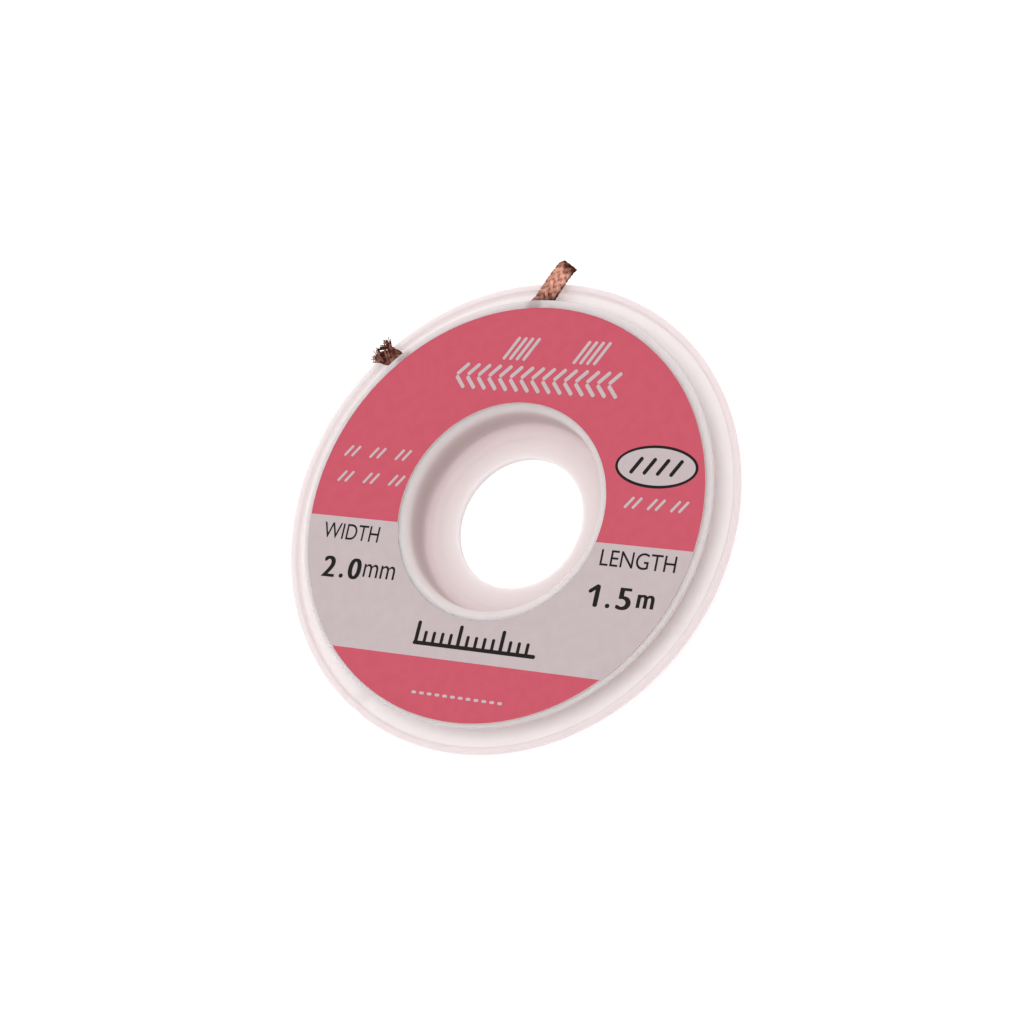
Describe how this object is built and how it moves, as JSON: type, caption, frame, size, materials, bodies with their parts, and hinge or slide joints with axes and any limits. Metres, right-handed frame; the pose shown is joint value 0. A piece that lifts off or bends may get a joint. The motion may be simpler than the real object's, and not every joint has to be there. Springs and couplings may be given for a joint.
{
  "type": "desoldering braid",
  "caption": "Flat copper desoldering braid wound on a small round plastic spool, with a dished rear flange, a hub recess with a peg hole, and a paper label.",
  "frame": {"origin": "on the spool's axis, at the level that its back lies on", "axes": "+Z along the spool's axis towards the label, +Y midway between the braid's two free ends"},
  "size_m": [0.0518, 0.0518, 0.0056],
  "materials": {
    "spool_plastic": "moulded, milky and slightly see-through white plastic with a soft satin surface",
    "label_paper": "red and pale grey printed paper with a faint satin coating",
    "braid_copper": "woven bare copper wire, bright on the crowns and darkened between the strands"
  },
  "bodies": {
    "root": {"spool": "spool_plastic", "front_label": "label_paper", "copper_braid": "braid_copper"}
  },
  "joints": []
}
